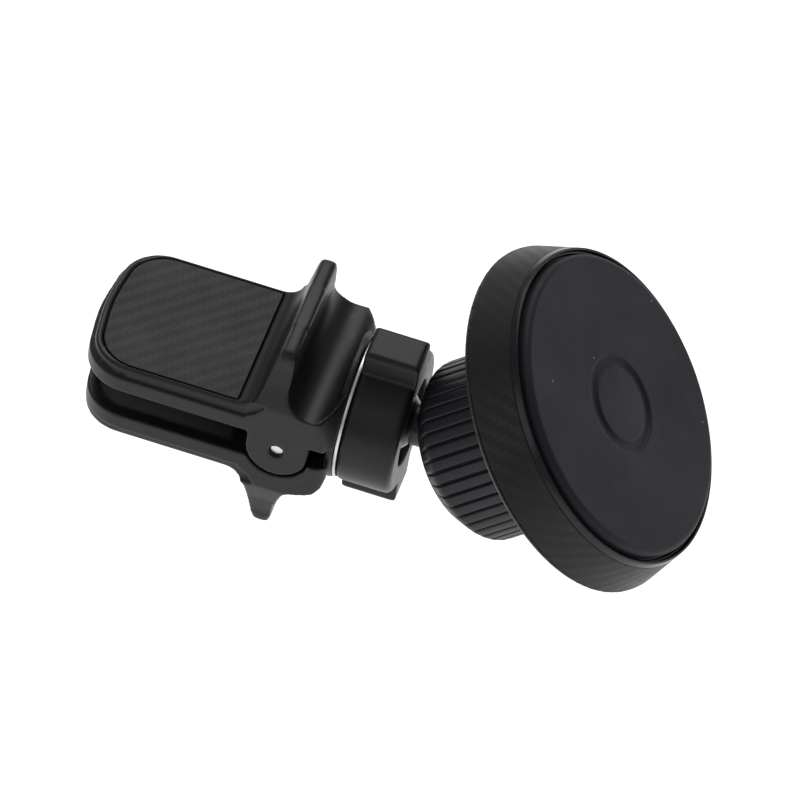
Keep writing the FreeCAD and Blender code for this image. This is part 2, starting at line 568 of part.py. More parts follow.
# ---- head: magnets and what holds them -----------------------------------------------------------
magnet = Part.makeCylinder(MAGNET_DIA / 2, CARRIER_THICK - 0.1,
                           Vector(MAGNET_PITCH_DIA / 2, 0, carrier_back + SEAT))
pocket = Part.makeCylinder(MAGNET_DIA / 2 + 0.1, CARRIER_THICK + 2,
                           Vector(MAGNET_PITCH_DIA / 2, 0, carrier_back - 1))
head_seat = carrier_front - 1.3
carrier_hole = Part.makeCylinder(SCREW_DIA / 2 + 0.15, CARRIER_THICK + 4,
                                 Vector(SCREW_PITCH_DIA / 2, 0, carrier_back - 2))
head_hole = Part.makeCylinder(SCREW_HEAD_DIA / 2 + 0.15, 3,
                              Vector(SCREW_PITCH_DIA / 2, 0, head_seat))
carrier = rod(inner_r, carrier_back, carrier_front)
carrier = carrier.cut(ring_of(pocket, MAGNET_COUNT))
carrier = carrier.cut(ring_of(carrier_hole, SCREW_COUNT, 30) + ring_of(head_hole, SCREW_COUNT, 30))
save("magnet_carrier", on_head(carrier))
save("magnets", Part.makeCompound([on_head(m) for m in ring_of(magnet, MAGNET_COUNT)]))

yoke = rod(inner_r - 0.3, yoke_back + SEAT, carrier_back - SEAT)
yoke = yoke.cut(ring_of(carrier_hole, SCREW_COUNT, 30))
save("steel_yoke", on_head(yoke))

screw_tip = CAVITY_FLOOR - 0.6
screw = turned([(0, screw_tip, 0), (SCREW_DIA / 2 - SEAT, screw_tip, 0.2),
                (SCREW_DIA / 2 - SEAT, head_seat + SEAT, 0), (SCREW_HEAD_DIA / 2, head_seat + SEAT, 0),
                (SCREW_HEAD_DIA / 2, carrier_front - 0.15, 0.3), (0, carrier_front - 0.15, 0)])
screw = screw.cut(rod(0.8, carrier_front - 0.9, carrier_front + 1))
screw.translate(Vector(SCREW_PITCH_DIA / 2, 0, 0))
save("carrier_screws", Part.makeCompound([on_head(s) for s in ring_of(screw, SCREW_COUNT, 30)]))
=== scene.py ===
import json
import math

import bmesh
import bpy
import numpy as np
from mathutils import Matrix, Vector


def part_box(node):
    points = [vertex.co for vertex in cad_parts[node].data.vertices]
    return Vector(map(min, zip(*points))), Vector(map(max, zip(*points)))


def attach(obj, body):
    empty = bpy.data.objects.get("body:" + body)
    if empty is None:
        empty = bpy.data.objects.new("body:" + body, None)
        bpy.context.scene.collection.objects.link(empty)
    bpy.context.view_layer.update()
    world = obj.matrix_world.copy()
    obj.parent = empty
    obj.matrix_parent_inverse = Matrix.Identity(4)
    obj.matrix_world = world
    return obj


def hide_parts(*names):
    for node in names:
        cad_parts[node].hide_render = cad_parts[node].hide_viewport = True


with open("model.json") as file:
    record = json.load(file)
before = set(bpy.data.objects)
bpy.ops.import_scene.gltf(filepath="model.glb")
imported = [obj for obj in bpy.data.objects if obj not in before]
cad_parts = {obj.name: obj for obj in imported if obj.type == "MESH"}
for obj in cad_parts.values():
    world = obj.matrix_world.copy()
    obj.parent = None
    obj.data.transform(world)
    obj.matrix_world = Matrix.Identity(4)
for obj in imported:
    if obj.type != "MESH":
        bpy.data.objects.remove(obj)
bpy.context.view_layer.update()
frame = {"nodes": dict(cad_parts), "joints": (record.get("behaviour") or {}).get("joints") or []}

# Magnetic vent mount: moulded clip jaws, lock ring, ribbed socket nut and magnetic head.
# Metres, in the frame of the CAD model. "Head place" is a local frame whose Z runs
# forwards along the head's axis from the middle of the ball.

MM = 0.001

# ---- moulded shells ----------------------------------------------------------------------
JAW_VOXEL = 0.17 * MM
JAW_PASSES = 5
RIM_PASSES = 26
RELAX_KEEP = 0.35           # share of its own place that a point keeps in one pass
RIM_BELOW = 1.35 * MM       # the rim, from the top of the platform down
RIM_ABOVE = 1.0 * MM
RIM_BESIDE = 0.35 * MM      # outside the inlay's sides
RIM_AHEAD = -0.2 * MM       # ahead of the inlay's tip
RIM_REAR = 1.5 * MM         # platform behind the inlay
CORNER_SIDE = 5.0 * MM      # middle of a round corner, in from the inlay's side and tip
CORNER_TIP = 6.0 * MM
CORNER_RADIUS = 5.6 * MM
TAB_TOP = 1.6 * MM          # end of a finger tab that is rounded off
TAB_MIDDLE = 3.5 * MM       # half of the tab's end that stays as it is
RING_VOXEL = 0.13 * MM
RING_PASSES = 7
SHELL_VOXEL = 0.2 * MM
SHELL_PASSES = 4
JAW_TRIANGLES = 150000
SHELL_TRIANGLES = 110000
RING_TRIANGLES = 90000

# ---- socket nut --------------------------------------------------------------------------
NUT_RIBS = 44
NUT_RIB_DEPTH = 0.42 * MM
NUT_GROOVE_HALF = 0.27 * MM
NUT_CROWN = 0.06 * MM
NUT_BOSS_RADIUS = 9.95 * MM
NUT_MOUTH_RADIUS = 8.5 * MM
NUT_END_RADIUS = 9.5 * MM
NUT_SEAT = 1.2 * MM
NUT_BEVEL = 2.3 * MM
NUT_LIP = 0.7 * MM
RIB_INNER = 1.1 * MM        # below the ribs' tops, where a groove has no depth
RIB_FULL = 0.35 * MM        # and where it has all of it

# ---- head: band, lip and pad -------------------------------------------------------------
BAND_WALL = 0.74 * MM
LIP_TOP_OUT = 0.3 * MM      # both in from the lip's outside
LIP_TOP_IN = 0.62 * MM
LIP_FOOT_IN = 0.68 * MM
LIP_FLOOR = 0.3 * MM
PAD_EDGE_RADIUS = 0.88 * MM

# ---- grip pads and spring ----------------------------------------------------------------
GRIP_RIB_PITCH = 1.7 * MM
GRIP_RIB_RADIUS = 0.32 * MM
GRIP_RIB_SUNK = 0.9         # plate face behind the rib tops, in rib radii
GRIP_SIDE = 1.2 * MM
GRIP_REAR = 0.8 * MM
GRIP_SHORT = 6.0 * MM       # ribs shorter than the plate
WIRE_RADIUS = 0.45 * MM
COIL_MEAN_RADIUS = 1.7 * MM
COIL_PITCH = 1.6 * MM
COIL_TURNS = 5.5
SPRING_LEG = 5.2 * MM

# ---- woven film --------------------------------------------------------------------------
TOW = 0.64 * MM

FACE_MARK_RADIUS = 6.0 * MM
FACE_MARK_WIDTH = 0.95 * MM
FACE_MARK_DEPTH = 0.34 * MM
FACE_MARK_FLANK = 0.35 * MM
FACE_MARK_INNER = 0.2 * MM

# ---- studio --------------------------------------------------------------------------------
FLOOR_Z = -34.0 * MM
FLOOR_HALF = 6.0
FLOOR_GLOW = 0.74
KEY_AT = (0.95, 0.25, 1.15)
KEY_SIZE = (1.1, 1.1)
KEY_POWER = 10.0
FILL_AT = (-1.1, 0.5, 0.9)
FILL_SIZE = (0.9, 0.9)
FILL_POWER = 2.0
SKY_STRENGTH = 0.3

joints = {joint["name"]: joint for joint in frame["joints"]}
ball_centre = Vector(joints["head_spin"]["pos_m"])
head_axis = Vector(joints["head_spin"]["axis"]).normalized()
tilt_axis = Vector(joints["head_tilt"]["axis"]).normalized()
pin_centre = Vector(joints["jaw_open"]["pos_m"])


def axis_place(centre, axis, side):
    """Matrix of a local frame with Z along axis and X along side."""
    z = axis.normalized()
    y = z.cross(side).normalized()
    x = y.cross(z)
    turn = Matrix((x, y, z)).transposed().to_4x4()
    return Matrix.Translation(centre) @ turn


head_place = axis_place(ball_centre, head_axis, tilt_axis)
pin_place = axis_place(pin_centre, Vector((1, 0, 0)), Vector((0, 1, 0)))


def points_of(mesh):
    flat = np.zeros(len(mesh.vertices) * 3)
    mesh.vertices.foreach_get("co", flat)
    return flat.reshape(-1, 3)


def reach(node, place):
    """Inner radius, outer radius, lowest and highest of a CAD node about the Z of a place."""
    inverse = np.array(place.inverted())
    local = points_of(frame["nodes"][node].data) @ inverse[:3, :3].T + inverse[:3, 3]
    radius = np.hypot(local[:, 0], local[:, 1])
    return radius.min(), radius.max(), local[:, 2].min(), local[:, 2].max()


# ---- materials: small helpers ------------------------------------------------------------
def add(tree, kind, inputs=None, **settings):
    """New node; inputs are values or the sockets they are linked from."""
    made = tree.nodes.new(kind)
    for key, value in settings.items():
        setattr(made, key, value)
    for key, value in (inputs or {}).items():
        if isinstance(value, bpy.types.NodeSocket):
            tree.links.new(value, made.inputs[key])
        else:
            made.inputs[key].default_value = value
    return made


def calc(tree, operation, first, second=None, third=None):
    values = {i: v for i, v in enumerate((first, second, third)) if v is not None}
    return add(tree, "ShaderNodeMath", values, operation=operation).outputs[0]


def remap(tree, value, low, high, to_low, to_high):
    inputs = {0: value, 1: low, 2: high, 3: to_low, 4: to_high}
    return add(tree, "ShaderNodeMapRange", inputs).outputs[0]


def tint(tree, amount, dark, light):
    """Colour between dark and light by amount."""
    ramp = add(tree, "ShaderNodeValToRGB", {0: amount})
    ramp.color_ramp.elements[0].color = (*dark, 1)
    ramp.color_ramp.elements[1].color = (*light, 1)
    return ramp.outputs[0]


def noise(tree, coordinate, scale, detail=2.0, roughness=0.5):
    inputs = {"Vector": coordinate, "Scale": scale, "Detail": detail, "Roughness": roughness}
    return add(tree, "ShaderNodeTexNoise", inputs).outputs[0]


def bump(tree, height, distance, strength=1.0, normal=None):
    inputs = {"Height": height, "Distance": distance, "Strength": strength}
    if normal is not None:
        inputs["Normal"] = normal
    return add(tree, "ShaderNodeBump", inputs).outputs[0]


def new_material(name):
    """Material, its tree, its shader and its Object coordinates."""
    material = bpy.data.materials.new(name)
    material.use_nodes = True
    tree = material.node_tree
    tree.nodes.clear()
    shader = add(tree, "ShaderNodeBsdfPrincipled")
    output = add(tree, "ShaderNodeOutputMaterial")
    tree.links.new(shader.outputs[0], output.inputs[0])
    coordinate = add(tree, "ShaderNodeTexCoord").outputs["Object"]
    return material, tree, shader, coordinate


def worn_edge(tree):
    """0 on faces, up to 1 along outer edges."""
    pointiness = add(tree, "ShaderNodeNewGeometry").outputs["Pointiness"]
    return remap(tree, pointiness, 0.515, 0.60, 0.0, 1.0)


# ---- materials ---------------------------------------------------------------------------
def moulded_plastic(name, dark, light, rough_low, rough_high, grain=0.012 * MM, specular=0.5):
    """Satin plastic with the fine grain of a spark-eroded mould and handled, shinier edges."""
    material, tree, shader, coordinate = new_material(name)
    cloud = noise(tree, coordinate, 140, 3)
    grains = noise(tree, coordinate, 6500, 2)
    scuff = noise(tree, coordinate, 900, 5, 0.65)
    edge = worn_edge(tree)
    tone = calc(tree, "ADD", calc(tree, "MULTIPLY", cloud, 0.6),
                calc(tree, "MULTIPLY", grains, 0.35))
    tone = calc(tree, "MULTIPLY_ADD", edge, 0.35, tone)
    colour = tint(tree, tone, dark, light)
    tree.links.new(colour, shader.inputs["Base Color"])
    rough = calc(tree, "MULTIPLY_ADD", scuff, 0.45, calc(tree, "MULTIPLY", cloud, 0.55))
    rough = calc(tree, "MULTIPLY_ADD", edge, -0.25, rough)
    tree.links.new(remap(tree, rough, 0.2, 0.8, rough_low, rough_high), shader.inputs["Roughness"])
    relief = calc(tree, "MULTIPLY_ADD", scuff, 0.25, grains)
    tree.links.new(bump(tree, relief, grain, 0.35), shader.inputs["Normal"])
    shader.inputs["Specular IOR Level"].default_value = specular
    return material


def woven_film(name, use_uv):
    """Black carbon-look film: a 2/2 twill of flat tows under a satin skin; the tows lying one way
    and the crowns of all tows are painted lighter, a painted sheen for the tows' directional
    reflection.
    """
    material, tree, shader, coordinate = new_material(name)
    if use_uv:
        coordinate = add(tree, "ShaderNodeTexCoord").outputs["UV"]
    parts = add(tree, "ShaderNodeSeparateXYZ", {0: coordinate})
    x = calc(tree, "DIVIDE", parts.outputs[0], TOW)
    y = calc(tree, "DIVIDE", parts.outputs[1], TOW)
    lean = -1.0 if use_uv else 1.0
    lane = calc(tree, "MULTIPLY_ADD", calc(tree, "FLOOR", y), lean, calc(tree, "FLOOR", x))
    over = calc(tree, "LESS_THAN", calc(tree, "FLOORED_MODULO", lane, 4.0), 1.5)

    def tow_section(along):
        part = calc(tree, "FRACT", along)
        rest = calc(tree, "SUBTRACT", 1.0, part)
        return calc(tree, "MULTIPLY", calc(tree, "MULTIPLY", part, 4.0), rest)

    def fibres(stretch):
        mapped = add(tree, "ShaderNodeMapping", {"Vector": coordinate, "Scale": stretch})
        return noise(tree, mapped.outputs[0], 1.0, 2)

    along_y = calc(tree, "MULTIPLY_ADD", fibres((16000, 700, 700)), 0.5, tow_section(x))
    along_x = calc(tree, "MULTIPLY_ADD", fibres((700, 16000, 700)), 0.5, tow_section(y))
    height = add(tree, "ShaderNodeMix", {0: over, 2: along_x, 3: along_y}).outputs[0]
    cloud = noise(tree, coordinate, 160, 3)
    # painted sheen: a broad noise lightens the over-cells, and the crowns of the tows are painted
    # lighter too, standing in for the reflection of the fibres
    painted_sheen = remap(tree, noise(tree, coordinate, 95, 1), 0.38, 0.62, 0.05, 0.34)
    tone = calc(tree, "MULTIPLY_ADD", over, painted_sheen, calc(tree, "MULTIPLY", height, 0.12))
    tone = calc(tree, "MULTIPLY_ADD", cloud, 0.5, tone)
    colour = tint(tree, tone, (0.002, 0.002, 0.0022), (0.018, 0.018, 0.019))
    tree.links.new(colour, shader.inputs["Base Color"])
    rough = calc(tree, "MULTIPLY_ADD", over, -0.04, calc(tree, "MULTIPLY_ADD", cloud, 0.2, 0.4))
    tree.links.new(rough, shader.inputs["Roughness"])
    tree.links.new(bump(tree, height, 0.008 * MM, 0.35), shader.inputs["Normal"])
    shader.inputs["Specular IOR Level"].default_value = 0.27
    return material


def soft_silicone(name):
    """Matt blue-black silicone with fine grain, faint smears and stray lint."""
    material, tree, shader, coordinate = new_material(name)
    cloud = noise(tree, coordinate, 90, 4, 0.6)
    grains = noise(tree, coordinate, 5200, 3, 0.6)
    cells = add(tree, "ShaderNodeTexVoronoi", {"Vector": coordinate, "Scale": 420.0})
    chosen = calc(tree, "GREATER_THAN", add(tree, "ShaderNodeSeparateXYZ",
                                            {0: cells.outputs["Color"]}).outputs[0], 0.6)
    near = calc(tree, "LESS_THAN", cells.outputs["Distance"], 0.055)
    patchy = calc(tree, "GREATER_THAN", noise(tree, coordinate, 210, 2), 0.46)
    lint = calc(tree, "MULTIPLY", calc(tree, "MULTIPLY", chosen, near), patchy)
    tone = calc(tree, "MULTIPLY_ADD", cloud, 0.35, calc(tree, "MULTIPLY", grains, 0.6))
    plain = tint(tree, tone, (0.0025, 0.0028, 0.0075), (0.0098, 0.0106, 0.0185))
    speck = (0.2, 0.205, 0.22, 1)
    colour = add(tree, "ShaderNodeMix", {0: lint, 6: plain, 7: speck}, data_type="RGBA").outputs[2]
    tree.links.new(colour, shader.inputs["Base Color"])
    tree.links.new(remap(tree, cloud, 0.3, 0.7, 0.56, 0.7), shader.inputs["Roughness"])
    relief = calc(tree, "MULTIPLY_ADD", lint, 1.5, grains)
    tree.links.new(bump(tree, relief, 0.02 * MM, 0.7), shader.inputs["Normal"])
    shader.inputs["Specular IOR Level"].default_value = 0.3
    shader.inputs["Sheen Weight"].default_value = 0.04
    shader.inputs["Sheen Roughness"].default_value = 0.5
    return material


def brushed_metal(name, dark, light, rough_low, rough_high, lines=(9000, 900, 900)):
    """Bare or plated metal with fine drawn lines and slight staining."""
    material, tree, shader, coordinate = new_material(name)
    mapped = add(tree, "ShaderNodeMapping", {"Vector": coordinate, "Scale": lines}).outputs[0]
    scratches = noise(tree, mapped, 1.0, 3)
    stain = noise(tree, coordinate, 500, 4, 0.6)
    tone = calc(tree, "MULTIPLY_ADD", scratches, 0.5, calc(tree, "MULTIPLY", stain, 0.5))
    tree.links.new(tint(tree, tone, dark, light), shader.inputs["Base Color"])
    tree.links.new(remap(tree, tone, 0.3, 0.7, rough_low, rough_high), shader.inputs["Roughness"])
    tree.links.new(bump(tree, scratches, 0.004 * MM, 0.4), shader.inputs["Normal"])
    shader.inputs["Metallic"].default_value = 1.0
    return material


BLACK = (0.003, 0.003, 0.0034)
SOFT_BLACK = (0.013, 0.013, 0.0143)

finishes = {
    "black_plastic": moulded_plastic("satin_black_plastic", BLACK, SOFT_BLACK, 0.33, 0.47,
                                     specular=0.31),
    "carbon_look": woven_film("woven_film_flat", False),
    "carbon_band": woven_film("woven_film_band", True),
    "soft_rubber": moulded_plastic("grip_rubber", (0.014, 0.014, 0.0145), (0.042, 0.042, 0.044),
                                   0.62, 0.78, 0.02 * MM, 0.35),
    "steel_pin": brushed_metal("pin_steel", (0.52, 0.52, 0.53), (0.78, 0.78, 0.78), 0.22, 0.38),
    "spring_steel": brushed_metal("spring_wire", (0.30, 0.29, 0.28), (0.5, 0.49, 0.47), 0.28, 0.42),
    "ball_plastic": moulded_plastic("ball_acetal", BLACK, (0.014, 0.014, 0.015), 0.26, 0.38),
    "screw_steel": brushed_metal("screw_steel", (0.42, 0.42, 0.43), (0.66, 0.66, 0.67), 0.25, 0.42),
    "collar_steel": brushed_metal("collar_steel", (0.5, 0.5, 0.5), (0.72, 0.72, 0.72), 0.24, 0.4),
    "ring_plastic": moulded_plastic("ring_plastic", BLACK, SOFT_BLACK, 0.34, 0.46, specular=0.27),
    "liner_plastic": moulded_plastic("liner_nylon", (0.28, 0.27, 0.24), (0.42, 0.41, 0.37),
                                     0.4, 0.55),
    "nut_plastic": moulded_plastic("nut_plastic", (0.003, 0.0034, 0.0055), (0.012, 0.013, 0.019),
                                   0.4, 0.54, specular=0.36),
    "gloss_black": moulded_plastic("bezel_plastic", (0.003, 0.003, 0.0035), (0.012, 0.012, 0.013),
                                   0.2, 0.3, 0.004 * MM, 0.3),
    "carrier_plastic": moulded_plastic("carrier_plastic", (0.02, 0.02, 0.02), (0.05, 0.05, 0.05),
                                       0.45, 0.6),
    "nickel": brushed_metal("magnet_nickel", (0.62, 0.6, 0.56), (0.8, 0.78, 0.74), 0.16, 0.3),
    "yoke_steel": brushed_metal("yoke_zinc", (0.45, 0.46, 0.48), (0.65, 0.66, 0.68), 0.32, 0.5),
    "adhesive": moulded_plastic("adhesive_foam", (0.35, 0.34, 0.32), (0.55, 0.54, 0.5), 0.7, 0.85),
    "face_silicone": soft_silicone("face_silicone"),
}


# ---- pieces: small helpers ---------------------------------------------------------------
def new_piece(name, mesh, finish):
    piece = bpy.data.objects.new(name, mesh)
    bpy.context.scene.collection.objects.link(piece)
    mesh.materials.clear()
    mesh.materials.append(finishes[finish])
    return piece


def fit(piece, body, slot, *nodes):
    """The piece rides on a body and stands for CAD nodes."""
    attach(piece, body)
    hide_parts(*nodes)
    return piece


def baked(piece):
    """Plain mesh of a piece with its modifiers applied; the piece itself goes."""
    graph = bpy.context.evaluated_depsgraph_get()
    mesh = bpy.data.meshes.new_from_object(piece.evaluated_get(graph))
    bpy.data.objects.remove(piece)
    return mesh


def merged_copy(node):
    """Copy of a CAD node's mesh with its loose triangles joined."""
    mesh = frame["nodes"][node].data.copy()
    work = bmesh.new()
    work.from_mesh(mesh)
    bmesh.ops.remove_doubles(work, verts=work.verts, dist=0.0005 * MM)
    bmesh.ops.dissolve_degenerate(work, edges=work.edges, dist=0.0005 * MM)
    work.to_mesh(mesh)
    work.free()
    mesh.update()
    return mesh


def shade_smooth(mesh):
    mesh.polygons.foreach_set("use_smooth", [True] * len(mesh.polygons))
    mesh.update()


def even_normals(piece):
    modifier = piece.modifiers.new("even_normals", "WEIGHTED_NORMAL")
    modifier.weight = 50
    modifier.keep_sharp = True


# ---- moulded shells: soft-edged copies of CAD solids -------------------------------------
def relax(mesh, passes):
    """Moves points to the mean of their neighbours, each for its own number of passes."""
    points = points_of(mesh)
    flat = np.zeros(len(mesh.edges) * 2, int)
    mesh.edges.foreach_get("vertices", flat)
    ends = flat.reshape(-1, 2)
    count = np.bincount(ends.ravel(), minlength=len(points))[:, None]
    wanted = passes(points)
    for turn in range(int(wanted.max())):
        total = np.zeros_like(points)
        for axis in range(3):
            total[:, axis] += np.bincount(ends[:, 0], points[ends[:, 1], axis], len(points))
            total[:, axis] += np.bincount(ends[:, 1], points[ends[:, 0], axis], len(points))
        moving = (wanted > turn)[:, None]
        points = np.where(moving, RELAX_KEEP * points + (1 - RELAX_KEEP) * total / count, points)
    mesh.vertices.foreach_set("co", points.ravel())
    mesh.update()


def drop_flaps(mesh):
    """Takes away the doubled and lone triangles that thinning can leave."""
    mesh.validate()
    work = bmesh.new()
    work.from_mesh(mesh)
    lone = [face for face in work.faces if all(edge.is_boundary for edge in face.edges)]
    bmesh.ops.delete(work, geom=lone, context="FACES")
    work.to_mesh(mesh)
    work.free()


def moulded(name, node, finish, voxel, passes, most_triangles):
    """Soft-edged shell over a CAD node, even enough to take a moulder's radius on every edge."""
    work = new_piece(name + "_work", merged_copy(node), finish)
    remesh = work.modifiers.new("even", "REMESH")
    remesh.mode = "VOXEL"
    remesh.voxel_size = voxel
    mesh = baked(work)
    relax(mesh, passes)
    shade_smooth(mesh)
    triangles = 2 * len(mesh.polygons)
    if triangles > most_triangles:
        work = new_piece(name + "_thin", mesh, finish)
        thin = work.modifiers.new("thin", "DECIMATE")
        thin.ratio = most_triangles / triangles
        mesh = baked(work)
        drop_flaps(mesh)
        shade_smooth(mesh)
    mesh.name = name
    return new_piece(name, mesh, finish)


tab_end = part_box("upper_jaw")[1].z
inlay_low, inlay_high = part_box("upper_inlay")


def jaw_passes(points):
    """More rounding on the rim of the raised platform and on the corners of the finger tabs."""
    side, along, height = np.abs(points[:, 0]), points[:, 1], np.abs(points[:, 2])
    on_rim = (height > inlay_high.z - RIM_BELOW) & (height < inlay_high.z + RIM_ABOVE)
    on_rim &= along > inlay_low.y - RIM_REAR
    beside = side > inlay_high.x + RIM_BESIDE
    ahead = along > inlay_high.y + RIM_AHEAD
    corner = np.hypot(np.maximum(side - inlay_high.x + CORNER_SIDE, 0),
                      np.maximum(along - inlay_high.y + CORNER_TIP, 0)) > CORNER_RADIUS
    on_tab = (height > tab_end - TAB_TOP) & (side > TAB_MIDDLE)
    return np.where(on_rim & (beside | ahead | corner) | on_tab, RIM_PASSES, JAW_PASSES)


upper_jaw = moulded("upper_jaw_moulding", "upper_jaw", "black_plastic",
                    JAW_VOXEL, jaw_passes, JAW_TRIANGLES)
lower_jaw = moulded("lower_jaw_moulding", "lower_jaw", "black_plastic",
                    JAW_VOXEL, jaw_passes, JAW_TRIANGLES)
lock_ring = moulded("lock_ring_moulding", "lock_ring", "ring_plastic", RING_VOXEL,
                    lambda points: np.full(len(points), RING_PASSES), RING_TRIANGLES)
back_shell = moulded("head_back_shell", "back_shell", "black_plastic", SHELL_VOXEL,
                     lambda points: np.full(len(points), SHELL_PASSES), SHELL_TRIANGLES)


# ---- crisp copies: CAD solids with a fine edge break -------------------------------------
def crisp(name, node, finish, edge_break, segments=2):
    """Copy of a CAD node with its flat faces joined and its sharp edges broken."""
    mesh = merged_copy(node)
    work = bmesh.new()
    work.from_mesh(mesh)
    flat_angle = math.radians(0.3)
    bmesh.ops.dissolve_limit(work, angle_limit=flat_angle, verts=work.verts, edges=work.edges)
    work.to_mesh(mesh)
    work.free()
    shade_smooth(mesh)
    mesh.name = name
    piece = new_piece(name, mesh, finish)
    bevel = piece.modifiers.new("edge_break", "BEVEL")
    bevel.width = edge_break
    bevel.segments = segments
    bevel.limit_method = "ANGLE"
    bevel.angle_limit = math.radians(32)
    bevel.use_clamp_overlap = False
    even_normals(piece)
    return piece


upper_inlay = crisp("upper_woven_inlay", "upper_inlay", "carbon_look", 0.1 * MM)
lower_inlay = crisp("lower_woven_inlay", "lower_inlay", "carbon_look", 0.1 * MM)
collar = crisp("keyed_lock_collar", "lock_collar", "collar_steel", 0.08 * MM)
ball_stud = crisp("ball_and_stud", "ball_stud", "ball_plastic", 0.06 * MM)


# ---- turned pieces -----------------------------------------------------------------------
def rounded(corners, steps=6):
    """Outline points from (r, z, radius) corners, with an arc at each corner that has a radius."""
    points = []
    for i, (r, z, radius) in enumerate(corners):
        at = Vector((r, z))
        if radius <= 0:
            points.append(at)
            continue
        before = (Vector(corners[i - 1][:2]) - at).normalized()
        after = (Vector(corners[(i + 1) % len(corners)][:2]) - at).normalized()
        half = before.angle(after) / 2
        centre = at + (before + after).normalized() * radius / math.sin(half)
        start = (at + before * radius / math.tan(half) - centre).normalized()
        end = (at + after * radius / math.tan(half) - centre).normalized()
        for step in range(steps + 1):
            points.append(centre + start.slerp(end, step / steps) * radius)
    return points


def turned(name, corners, segments=224, steps=6):
    """Closed outline turned about local Z; UVs are metres round and metres along the outline."""
    outline = rounded(corners, steps)
    widest = max(p.x for p in outline)
    work = bmesh.new()
    layer = work.loops.layers.uv.new("turned")
    rings = []
    for point in outline:
        ring = []
        for s in range(segments):
            angle = 2 * math.pi * s / segments
            x, y = point.x * math.cos(angle), point.x * math.sin(angle)
            ring.append(work.verts.new((x, y, point.y)))
        rings.append(ring)
    along = [0.0]
    for i in range(len(outline)):
        along.append(along[-1] + (outline[(i + 1) % len(outline)] - outline[i]).length)
    for i in range(len(outline)):
        upper = rings[(i + 1) % len(outline)]
        for s in range(segments):
            t = (s + 1) % segments
            face = work.faces.new((rings[i][s], rings[i][t], upper[t], upper[s]))
            face.smooth = True
            near, far = along[i], along[i + 1]
            corners_uv = ((s, near), (s + 1, near), (s + 1, far), (s, far))
            for loop, (step, v) in zip(face.loops, corners_uv):
                loop[layer].uv = (2 * math.pi * widest * step / segments, v)
    bmesh.ops.remove_doubles(work, verts=work.verts, dist=0.0005 * MM)
    bmesh.ops.recalc_face_normals(work, faces=work.faces)
    mesh = bpy.data.meshes.new(name)
    work.to_mesh(mesh)
    work.free()
    return mesh


def placed(name, mesh, place, finish):
    mesh.transform(place)
    piece = new_piece(name, mesh, finish)
    even_normals(piece)
    return piece


band_outer, band_low, band_high = reach("rim_band", head_place)[1:]
bezel_inner, bezel_outer, bezel_low, bezel_high = reach("front_bezel", head_place)
pad_outer, pad_low, pad_high = reach("face_pad", head_place)[1:]

band_mesh = turned("woven_rim_band", [
    (band_outer - BAND_WALL, band_low, 0), (band_outer, band_low, 0.12 * MM),
    (bezel_outer, band_high, 0.08 * MM), (bezel_outer - BAND_WALL, band_high, 0)])
rim_band = placed("woven_rim_band", band_mesh, head_place, "carbon_band")

lip_floor = bezel_low + LIP_FLOOR
bezel_mesh = turned("front_lip", [
    (bezel_inner, bezel_low, 0), (bezel_outer, bezel_low, 0.06 * MM),
    (bezel_outer - LIP_TOP_OUT, bezel_high, 0.14 * MM),
    (bezel_outer - LIP_TOP_IN, bezel_high, 0.14 * MM),
    (bezel_outer - LIP_FOOT_IN, lip_floor, 0.1 * MM), (bezel_inner, lip_floor, 0)])
front_bezel = placed("front_lip", bezel_mesh, head_place, "gloss_black")

mark_in = FACE_MARK_RADIUS - FACE_MARK_WIDTH
mark_floor = pad_high - FACE_MARK_DEPTH
pad_mesh = turned("silicone_face_pad", [
    (0, pad_low, 0), (pad_outer, pad_low, 0.1 * MM), (pad_outer, pad_high, PAD_EDGE_RADIUS),
    (FACE_MARK_RADIUS + FACE_MARK_FLANK, pad_high, 0.4 * MM),
    (FACE_MARK_RADIUS, mark_floor, 0.15 * MM), (mark_in, mark_floor, 0.15 * MM),
    (mark_in - FACE_MARK_INNER, pad_high, 0.25 * MM), (0, pad_high, 0)], steps=8)
face_pad = placed("silicone_face_pad", pad_mesh, head_place, "face_silicone")

pin_outer, pin_low, pin_high = reach("hinge_pin", pin_place)[1:]
pin_mesh = turned("hinge_pin_rod", [
    (0, pin_low, 0), (pin_outer, pin_low, 0.22 * MM), (pin_outer, pin_high, 0.22 * MM),
    (0, pin_high, 0)], segments=48)
hinge_pin = placed("hinge_pin_rod", pin_mesh, pin_place, "steel_pin")


# ---- Geometry Nodes: helpers -------------------------------------------------------------
def new_tree(name, sizes):
    """Geometry tree with a Geometry input and named inputs; gives it, its input and its output."""
    tree = bpy.data.node_groups.new(name, "GeometryNodeTree")
    tree.interface.new_socket("Geometry", in_out="INPUT", socket_type="NodeSocketGeometry")
    for size, kind in sizes.items():
        tree.interface.new_socket(size, in_out="INPUT", socket_type="NodeSocket" + kind)
    tree.interface.new_socket("Geometry", in_out="OUTPUT", socket_type="NodeSocketGeometry")
    start = tree.nodes.new("NodeGroupInput")
    end = tree.nodes.new("NodeGroupOutput")
    return tree, start, end


def close_tree(tree, end, geometry, material):
    """Realize Instances and Set Material before the output."""
    real = add(tree, "GeometryNodeRealizeInstances", {0: geometry}).outputs[0]
    smooth = add(tree, "GeometryNodeSetShadeSmooth", {0: real}).outputs[0]
    done = add(tree, "GeometryNodeSetMaterial", {0: smooth, "Material": material}).outputs[0]
    tree.links.new(done, end.inputs[0])


def grown(name, mesh, finish, tree, values):
    """Plain mesh that a tree makes from a start mesh, with its inputs set by identifier."""
    work = new_piece(name + "_work", mesh, finish)
    modifier = work.modifiers.new("grow", "NODES")
    modifier.node_group = tree
    for item in tree.interface.items_tree:
        if item.in_out == "INPUT" and item.name in values:
            modifier[item.identifier] = values[item.name]
    made = baked(work)
    made.name = name
    return made


